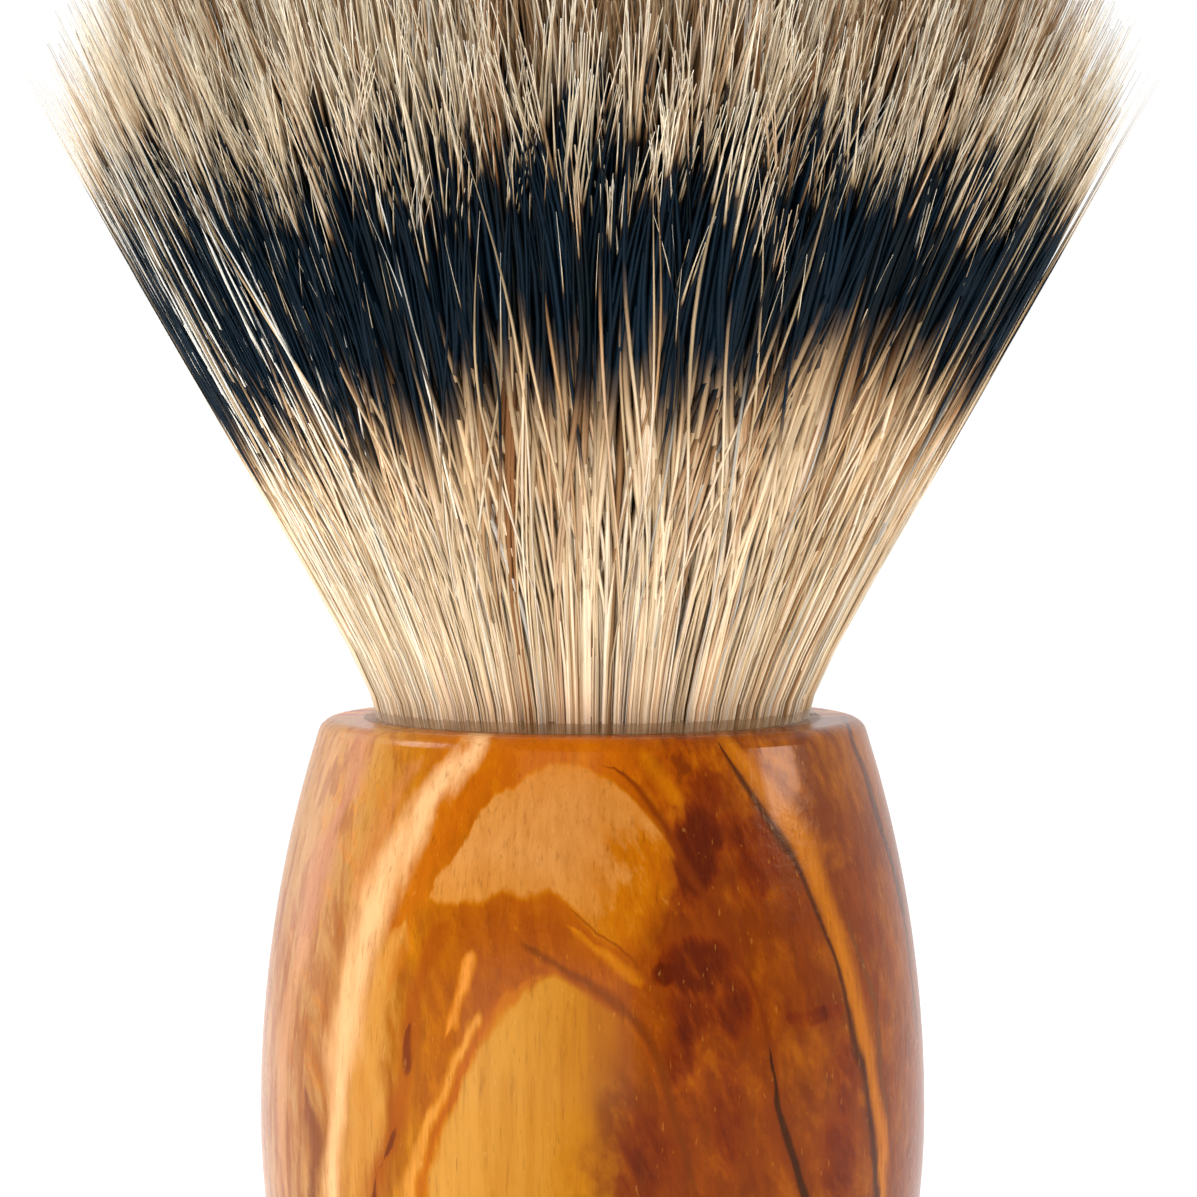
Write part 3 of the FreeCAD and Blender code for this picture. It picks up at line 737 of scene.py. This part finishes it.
class Strands:
    """Hairs described by a few arrays, one value per hair.

    A hair leaves the mouth at its root turn and share of the fan's radius, and by its tip has
    drifted to the turn and share of the tuft that it belongs to.
    """

    def __init__(self, rng, root, goal, tip, size, band, shaded, curl, bow=0.016):
        count = len(tip)
        self.turn, self.share = root
        self.goal_turn, self.goal_share = goal
        self.tip = tip
        self.size = size
        self.bow = rng.normal(0, bow, count)
        self.bow_at = rng.uniform(0, TAU, count)
        self.curl = curl + rng.normal(0, 0.012, count)
        self.column = choose_columns(rng, self.turn, shaded)
        turns, lower, upper = np.array(DARK_ZONE).T
        degrees = (np.degrees(self.turn) + 180) % 360 - 180
        low_band, high_band = band
        self.dark_from = np.interp(degrees, turns, lower) + low_band + rng.normal(0, 0.6, count)
        rise = 0.5 * np.clip(tip - 36, 0, 20)
        high = np.interp(degrees, turns, upper) + rise + high_band + rng.normal(0, 0.4, count)
        self.dark_to = np.minimum(high, tip - rng.uniform(0.8, 3.5, count))
        self.dark_from = np.minimum(self.dark_from, self.dark_to - 5)

    def pick(self, chosen):
        part = copy.copy(self)
        vars(part).update({name: values[chosen] for name, values in vars(self).items()})
        return part

    def points(self, heights):
        """Places of the hairs at the given heights, one row of heights for each hair."""
        tip = self.tip[:, None]
        gather = 0.93 * ease((heights - 3) / (0.66 * tip))
        turn = self.turn[:, None] * (1 - gather) + self.goal_turn[:, None] * gather
        share = self.share[:, None] * (1 - gather) + self.goal_share[:, None] * gather
        wave = np.sin(heights / 8 + self.bow_at[:, None]) * np.clip(heights / 15, 0, 1)
        turn = turn + self.bow[:, None] * wave
        turn = turn + self.curl[:, None] * np.clip((heights / tip - 0.5) / 0.5, 0, 1)**2
        radius = share * fan_radius(heights)
        return np.stack([radius * np.sin(turn), -radius * np.cos(turn), heights], axis=2)

    def map_places(self, heights):
        """Where each height falls along the colour map."""
        low, high = self.dark_from[:, None], self.dark_to[:, None]
        tip = self.tip[:, None]
        below = BAND_LOW * (heights + 1) / (low + 1)
        within = BAND_LOW + (BAND_HIGH - BAND_LOW) * (heights - low) / (high - low)
        above = BAND_HIGH + (1 - BAND_HIGH) * (heights - high) / np.maximum(tip - high, 3)
        place = np.where(heights < low, below, np.where(heights < high, within, above))
        return np.clip(place, 0.001, 0.999)

    def widths(self, heights):
        """A hair's radius: a little thinner at the root, and a long fine taper at the tip."""
        gone = heights / self.tip[:, None]
        body = 0.52 + 0.5 * ease((gone - 0.2) / 0.45)
        taper = 1 - 0.9 * ease((gone - 0.66) / 0.34)
        return self.size[:, None] * body * taper


SIDES = 3
# a hair's section, as shares of its radius: shallow towards the axis, broad round it
SECTION_DEPTH = 0.7
SECTION_BREADTH = 1.35


def tube_corners(strands, heights, rings):
    """The corners of each hair's three-sided rings, in metres."""
    places = strands.points(heights)
    along = np.gradient(places, axis=1)
    along /= np.linalg.norm(along, axis=2, keepdims=True)
    outward = places * (1, 1, 0)
    outward /= np.maximum(np.linalg.norm(outward, axis=2, keepdims=True), 1e-6)
    sideways = np.cross(along, outward)
    sideways /= np.linalg.norm(sideways, axis=2, keepdims=True)
    outward = np.cross(sideways, along)
    widths = strands.widths(heights)[:, :, None]
    corners = []
    for side in range(SIDES):
        angle = TAU * side / SIDES
        lean = (outward * SECTION_DEPTH * math.cos(angle)
                + sideways * SECTION_BREADTH * math.sin(angle))
        corners.append((places + lean * widths)[:, rings])
    return np.stack(corners, axis=2) * MM + np.array([0, 0, RIM])


def tube_faces(count, steps):
    """The corner numbers of every tube's side faces and of its two end caps."""
    root = np.arange(count) * steps * SIDES
    tip = root + (steps - 1) * SIDES
    base = root[:, None, None]
    ring = (np.arange(steps - 1) * SIDES)[None, :, None]
    side = np.arange(SIDES)[None, None, :]
    near = (side + 1) % SIDES
    quads = np.stack([base + ring + side, base + ring + near,
                      base + ring + SIDES + near, base + ring + SIDES + side], axis=3)
    caps = np.stack([np.stack([root + 2, root + 1, root], axis=1),
                     np.stack([tip, tip + 1, tip + 2], axis=1)], axis=1)
    return quads, caps


def tube_chart(strands, chart, quads, caps):
    """The faces' places on the colour map: a hair keeps to its column and runs up it."""
    side = np.arange(SIDES)
    fractions = np.broadcast_to(np.stack([side, side + 1, side + 1, side], axis=1), quads.shape)
    column = strands.column[:, None, None, None]
    across = (column + 0.15 + 0.7 * fractions / SIDES) / COLUMNS
    low, high = chart[:, :-1, None], chart[:, 1:, None]
    upward = np.broadcast_to(np.stack([low, low, high, high], axis=3), quads.shape)
    cap_across = np.broadcast_to((strands.column[:, None, None] + 0.5) / COLUMNS, caps.shape)
    cap_upward = np.stack([chart[:, [0, 0, 0]], chart[:, [-1, -1, -1]]], axis=1)
    return np.stack([np.concatenate([across.ravel(), cap_across.ravel()]),
                     np.concatenate([upward.ravel(), cap_upward.ravel()])], axis=1)


def strand_mesh(name, strands, heights, first, last, material):
    """Closed three-sided tubes along the hairs, between two of their rings."""
    rings = slice(first, last)
    corners = tube_corners(strands, heights, rings)
    count, steps = corners.shape[:2]
    quads, caps = tube_faces(count, steps)
    places = tube_chart(strands, strands.map_places(heights)[:, rings], quads, caps)

    loops = np.concatenate([quads.ravel(), caps.ravel()])
    sizes = np.concatenate([np.full(quads.size // 4, 4), np.full(caps.size // 3, 3)])
    starts = np.concatenate([[0], np.cumsum(sizes)[:-1]])
    mesh = bpy.data.meshes.new(name)
    mesh.vertices.add(corners.size // 3)
    mesh.vertices.foreach_set("co", corners.astype(np.float32).ravel())
    mesh.loops.add(len(loops))
    mesh.loops.foreach_set("vertex_index", loops.astype(np.int32))
    mesh.polygons.add(len(sizes))
    mesh.polygons.foreach_set("loop_start", starts.astype(np.int32))
    mesh.polygons.foreach_set("loop_total", sizes.astype(np.int32))
    mesh.polygons.foreach_set("use_smooth", np.ones(len(sizes), bool))
    layer = mesh.uv_layers.new(name="OFBake")
    layer.data.foreach_set("uv", places.astype(np.float32).ravel())
    mesh.update(calc_edges=True)
    sharpen_ends(mesh, steps)
    mesh.materials.append(material)
    return add_object(name, mesh)


def sharpen_ends(mesh, steps):
    """Keep the flat caps from bending the shading of the tubes' ends."""
    ends = np.empty(len(mesh.edges) * 2, np.int32)
    mesh.edges.foreach_get("vertices", ends)
    ring = ends.reshape(-1, 2) // SIDES % steps
    level = ring[:, 0] == ring[:, 1]
    outer = (ring[:, 0] == 0) | (ring[:, 0] == steps - 1)
    mesh.edges.foreach_set("use_edge_sharp", level & outer)


def tufted(rng, tuft, hairs, root_spread, goal_spread, sizes, shaded):
    """Hairs that leave the mouth spread out and gather into the given tufts at their tips."""
    tuft_turn, tuft_share, tuft_tip, tuft_root = tuft
    count = len(tuft_turn)
    low_band = rng.normal(0, 1.3, count)
    high_band = rng.normal(0, 1.9, count)
    curl = rng.normal(0, 0.055, count)
    kind = choose_columns(rng, tuft_turn, shaded)
    owner = np.repeat(np.arange(count), hairs)
    count = len(owner)
    across = root_spread / (MOUTH * tuft_share[owner] + 0.8)
    turn = tuft_root[owner] + rng.normal(0, 1, count) * across
    share = tuft_share[owner] + rng.normal(0, 0.03, count)
    close = goal_spread / (FAN * tuft_share[owner] + 0.8)
    aside = rng.normal(0, 1, count)
    goal_turn = tuft_turn[owner] + aside * close
    goal_share = tuft_share[owner] + rng.normal(0, 0.006, count)
    tip = tuft_tip[owner] - np.abs(rng.normal(0, 1.3, count))
    size = rng.uniform(*sizes, count)
    band = (low_band[owner] - 0.8 * np.abs(aside), high_band[owner] + 1.7 * np.abs(aside) - 0.9)
    strands = Strands(rng, (turn, np.clip(share, 0, 1.0)), (goal_turn, goal_share), tip, size,
                      band, shaded[owner], curl[owner])
    alike = (rng.random(count) < 0.85) & (kind[owner] < TAN_COLUMN)
    strands.column = np.where(alike, kind[owner], strands.column)
    return strands


def shell_strands(rng):
    """The long hairs of the outer layers, whose pointed tufts overlap like thatch."""
    tufts = 1800
    number = np.arange(tufts)
    turn = TAU * (number * 0.618034 % 1) + rng.normal(0, 0.01, tufts)
    share = 1.0 - 0.3 * (number * 0.7548777 % 1)**1.2
    tip = crown_height(share) + 1.4 - (5 + 7 * np.clip(share - 0.8, 0, 1)) * rng.random(tufts)**1.3
    root = turn + rng.normal(0, 0.07, tufts)
    # inner tufts get painted-shade columns more often: painted shade deeper in the fan
    shaded = np.clip((0.95 - share) * 4, 0.08, 0.7)
    return tufted(rng, (turn, share, tip, root), 5, 0.9, 0.12, (0.13, 0.20), shaded)


def stray_strands(rng):
    """Loose hairs that lie slantwise over the outer layer, most of them on the left."""
    count = 520
    turn = np.where(rng.random(count) < 0.45, rng.normal(-1.05, 0.35, count),
                    rng.uniform(0, TAU, count))
    share = rng.uniform(1.0, 1.018, count)
    tip = rng.uniform(22, 33, count)
    root = turn + rng.normal(0, 0.11, count)
    band = (rng.normal(0, 2.0, count), rng.normal(0, 2.0, count))
    goal = (turn, share + rng.uniform(0, 0.01, count))
    stray = Strands(rng, (root, share * 0.995), goal, tip, rng.uniform(0.05, 0.09, count),
                    band, np.zeros(count), rng.normal(0, 0.03, count), bow=0.03)
    white = rng.random(count) < 0.01 + 0.2 * np.clip(-np.sin(turn), 0, 1)
    stray.column = np.where(white, rng.integers(WHITE_COLUMN, COLUMNS, count), stray.column)
    return stray


def crown_strands(rng):
    """The hairs whose tips make the dome. Only their upper parts can be seen."""
    tufts = 2100
    number = np.arange(tufts) + 0.5
    turn = number * TAU * 0.618034 + rng.normal(0, 0.05, tufts)
    share = 0.78 * np.sqrt(number / tufts)
    tip = crown_height(share) - np.abs(rng.normal(0, 1.3, tufts))
    # a share of the crown's hairs get painted-shade columns: painted shade between the tufts
    shaded = np.full(tufts, 0.4)
    return tufted(rng, (turn, share, tip, turn), 5, 0.45, 0.13, (0.12, 0.18), shaded)


def bend_low(piece):
    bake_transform(piece)


def bend_high(piece):
    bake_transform(piece)


def join_strands(first, second):
    """Both groups of hairs as one."""
    whole = copy.copy(first)
    others = vars(second)
    vars(whole).update({name: np.concatenate([values, others[name]])
                        for name, values in vars(first).items()})
    return whole


# the rings' heights on the shell's hairs: up to the cut, then as shares of the rest
SHELL_LOW_ROWS = [-0.8, 1.2, 3.5, 6.5, 9.7, 13.0, CUT]
SHELL_HIGH_SHARES = [0.14, 0.28, 0.42, 0.55, 0.67, 0.78, 0.88, 0.96, 1.0]

# the crown's hairs begin out of sight at this height, and their rings are shares of the rest
CROWN_START = 22.0
CROWN_SHARES = [0, 0.25, 0.45, 0.65, 0.82, 0.94, 1.0]


def shell_rows(strands):
    low = np.broadcast_to(np.array(SHELL_LOW_ROWS), (len(strands.tip), len(SHELL_LOW_ROWS)))
    high = CUT + (strands.tip[:, None] - CUT) * np.array(SHELL_HIGH_SHARES)
    return np.concatenate([low, high], axis=1)


def make_hair():
    rng = np.random.default_rng(11)
    shell = join_strands(shell_strands(rng), stray_strands(rng))
    side = (shell.goal_turn % TAU) / TAU
    material = hair_material()
    cut = len(SHELL_LOW_ROWS)
    for number, name in enumerate(("hair_lower_right", "hair_lower_left")):
        strands = shell.pick((side * 2).astype(int) == number)
        piece = strand_mesh(name, strands, shell_rows(strands), 0, cut, material)
        bend_low(piece)
        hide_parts("hair_root", "hair_shafts")
    for number, name in enumerate(("hair_upper_right", "hair_upper_back", "hair_upper_left")):
        strands = shell.pick((side * 3).astype(int) == number)
        piece = strand_mesh(name, strands, shell_rows(strands), cut - 1, None, material)
        bend_high(piece)
        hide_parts("hair_band")
    crown = crown_strands(rng)
    third = np.arange(len(crown.tip)) % 3
    for number, name in enumerate(("hair_crown_1", "hair_crown_2", "hair_crown_3")):
        strands = crown.pick(third == number)
        rows = CROWN_START + (strands.tip[:, None] - CROWN_START) * np.array(CROWN_SHARES)
        piece = strand_mesh(name, strands, rows, 0, None, material)
        bend_high(piece)
        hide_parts("hair_tips")


# ---- the dense heart of the hair ----


def heart_material():
    graph = Graph("hair_heart", Roughness=0.9, Specular_IOR_Level=0.1)
    place = graph.millimetres()
    height = graph.split(place)[2]
    streak = graph.grain(place, 0.06, 2.5, detail=3)
    height = graph.times_plus(graph.minus(streak, 0.5), 9.0, height)
    # the core's colours follow the hairs' zones but darker: painted shade in the gaps between the
    # hairs
    colour = graph.ramp(graph.over(height, LOFT), [
        (0.0, srgb(176, 140, 100)), (0.24, srgb(180, 144, 104)), (0.34, srgb(18, 26, 32)),
        (0.52, srgb(18, 26, 32)), (0.62, srgb(120, 98, 74)), (1.0, srgb(160, 134, 102))])
    graph.paint(colour)
    return graph.material


def turned_mesh(name, outline, around=96):
    """A closed mesh turned about the axis from an outline of (radius, height) in millimetres."""
    verts, faces = [], []
    for radius, height in outline:
        for step in range(around):
            angle = TAU * step / around
            ripple = 0.012 * math.sin(angle * 17 + height) + 0.01 * math.sin(angle * 31 - height)
            reach = radius * (1 + ripple) * MM
            verts.append((reach * math.sin(angle), -reach * math.cos(angle), RIM + height * MM))
    for row in range(len(outline) - 1):
        for step in range(around):
            after = (step + 1) % around
            faces.append((row * around + step, row * around + after,
                          (row + 1) * around + after, (row + 1) * around + step))
    faces.append(tuple(reversed(range(around))))
    faces.append(tuple(range((len(outline) - 1) * around, len(outline) * around)))
    mesh = bpy.data.meshes.new(name)
    mesh.from_pydata(verts, [], faces)
    mesh.polygons.foreach_set("use_smooth", np.ones(len(faces), bool))
    mesh.update()
    return add_object(name, mesh)


def make_heart():
    """A solid core inside the hair, so that light doesn't pass between the hairs."""
    inside = 0.84
    top = 24.0
    low = [(inside * fan_radius(height), height) for height in np.linspace(-0.6, CUT, 8)]
    high = [(inside * fan_radius(height), height) for height in np.linspace(CUT, top, 5)]
    widest = high[-1][0]
    for angle in np.linspace(0.15, math.pi / 2 - 0.05, 9):
        high.append((widest * math.cos(angle), top + (LOFT - top - 7) * math.sin(angle)))
    material = heart_material()
    for name, outline, bend, slot in (
        ("hair_heart_lower", low, bend_low, "hair_cream"),
        ("hair_heart_upper", high, bend_high, "hair_dark"),
    ):
        piece = turned_mesh(name, outline)
        piece.data.materials.append(material)
        bend(piece)


# ---- the pieces inside the socket and the lip at its mouth ----


def dress(node, material):
    """Give a CAD node a better material."""
    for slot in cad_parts[node].material_slots:
        slot.material = material


def resin():
    graph = Graph("cast_resin", Roughness=0.35, Specular_IOR_Level=0.5)
    place = graph.millimetres()
    cloud = graph.noise(place, 0.5, detail=3)
    colour = graph.ramp(cloud, [(0.3, srgb(186, 160, 104)), (0.7, srgb(214, 194, 142))])
    graph.paint(colour)
    graph.bump(graph.noise(place, 3.0, detail=2), 0.2, 0.0004)
    return graph.material


def thread():
    graph = Graph("waxed_thread", Roughness=0.6, Sheen_Weight=0.3)
    place = graph.millimetres()
    across, deep, up = graph.split(place)[:3]
    turn = graph.calc("ARCTAN2", across, deep)
    twist = graph.calc("SINE", graph.times_plus(turn, 90.0, graph.times(up, 9.0)))
    # the thread is paler on the twist's ridges and darker in its grooves, following the bump:
    # painted shade
    colour = graph.ramp(graph.times_plus(twist, 0.5, 0.5),
                        [(0.0, srgb(176, 166, 140)), (1.0, srgb(232, 226, 208))])
    graph.paint(colour)
    graph.bump(twist, 0.5, 0.0002)
    return graph.material


def clear_adhesive():
    graph = Graph("clear_adhesive", Roughness=0.18, Specular_IOR_Level=0.6, Alpha=0.35)
    place = graph.millimetres()
    cloud = graph.noise(place, 0.8, detail=2)
    colour = graph.ramp(cloud, [(0.3, srgb(150, 104, 62)), (0.7, srgb(186, 144, 98))])
    graph.paint(colour)
    graph.bump(graph.noise(place, 1.6, detail=2), 0.3, 0.0004)
    return graph.material


# ---- studio ----

VIEW_DISTANCE = 0.26
VIEW_WIDTH = 0.0606
VIEW_CENTRE = Vector((0.0003, 0, RIM + 0.0060))
CAMERA_ABOVE_RIM = 0.0205
ROOM_FRONT = 0.28
ROOM_BACK = 1.0


def make_camera():
    camera = bpy.data.cameras.new("camera")
    camera.sensor_width = 36.0
    holder = add_object("camera", camera)
    holder.location = (VIEW_CENTRE.x, -VIEW_DISTANCE, RIM + CAMERA_ABOVE_RIM)
    look = VIEW_CENTRE - holder.location
    camera.lens = camera.sensor_width * look.length / VIEW_WIDTH
    holder.rotation_euler = look.to_track_quat("-Z", "Y").to_euler()
    camera.clip_start = 0.01
    camera.clip_end = 20.0
    bpy.context.scene.camera = holder


def area_light(name, place, aim, width, height, power, colour=(1, 1, 1)):
    light = bpy.data.lights.new(name, "AREA")
    light.shape = "RECTANGLE"
    light.size, light.size_y = width, height
    light.energy = power
    light.color = colour
    holder = add_object(name, light)
    holder.location = place
    holder.rotation_euler = (Vector(aim) - Vector(place)).to_track_quat("-Z", "Y").to_euler()


def make_floor():
    half = 3.0
    mesh = bpy.data.meshes.new("floor")
    mesh.from_pydata([(-half, -half, 0), (half, -half, 0), (half, half, 0), (-half, half, 0)],
                     [], [(0, 1, 2, 3)])
    floor = add_object("floor", mesh)
    graph = Graph("pale_floor", Roughness=0.8, Specular_IOR_Level=0.2)
    mottle = graph.noise(graph.millimetres(), 0.004, detail=3)
    colour = graph.ramp(mottle, [(0.3, srgb(245, 245, 245)), (0.7, srgb(248, 248, 247))])
    graph.paint(colour)
    mesh.materials.append(graph.material)


def make_world():
    """An even white room, dimmer on the camera's side so that dark wood keeps its depth."""
    world = bpy.data.worlds.new("studio")
    world.use_nodes = True
    tree = world.node_tree
    background = tree.nodes["Background"]
    place = tree.nodes.new("ShaderNodeTexCoord")
    parts = tree.nodes.new("ShaderNodeSeparateXYZ")
    shade = tree.nodes.new("ShaderNodeMapRange")
    shade.interpolation_type = "SMOOTHSTEP"
    shade.inputs["From Min"].default_value = -0.7
    shade.inputs["From Max"].default_value = 0.35
    shade.inputs["To Min"].default_value = ROOM_FRONT
    shade.inputs["To Max"].default_value = ROOM_BACK
    tree.links.new(place.outputs["Generated"], parts.inputs[0])
    tree.links.new(parts.outputs["Y"], shade.inputs["Value"])
    tree.links.new(shade.outputs["Result"], background.inputs["Strength"])
    background.inputs["Color"].default_value = (1, 1, 1, 1)
    bpy.context.scene.world = world


def make_studio():
    make_world()
    bpy.context.scene.view_settings.view_transform = "Standard"
    aim = (0, 0, RIM)
    area_light("key", (-0.35, 0.0, RIM + 0.28), aim, 0.16, 0.12, 0.95, (0.88, 0.97, 1.1))
    area_light("back_left", (-0.30, 0.18, RIM + 0.10), (0, 0, RIM + 0.02), 0.25, 0.25, 0.3)
    area_light("low_left", (-0.30, -0.22, 0.02), (0, 0, RIM + 0.03), 0.30, 0.12, 0.1)
    area_light("fill", (0.375, -0.045, RIM + 0.137), aim, 0.12, 0.06, 0.42)
    area_light("front", (-0.16, -0.60, RIM + 0.42), aim, 0.40, 0.30, 0.7)
    area_light("front_right", (0.40, -0.45, RIM + 0.10), aim, 0.30, 0.30, 0.12)
    area_light("low", (-0.12, -0.42, 0.015), (0, 0, RIM + 0.02), 0.50, 0.20, 0.8)
    sun = bpy.data.lights.new("overhead", "SUN")
    sun.energy = 1.3
    sun.angle = 0.5
    add_object("overhead", sun).rotation_euler = (math.radians(-14), 0, 0)


# ---- the whole brush ----

make_camera()
dress("handle", olive_wood())
dress("resin_plug", resin())
dress("binding_thread", thread())
adhesive = clear_adhesive()
dress("socket_adhesive", adhesive)
dress("mouth_adhesive", adhesive)
make_hair()
make_heart()
make_floor()
make_studio()
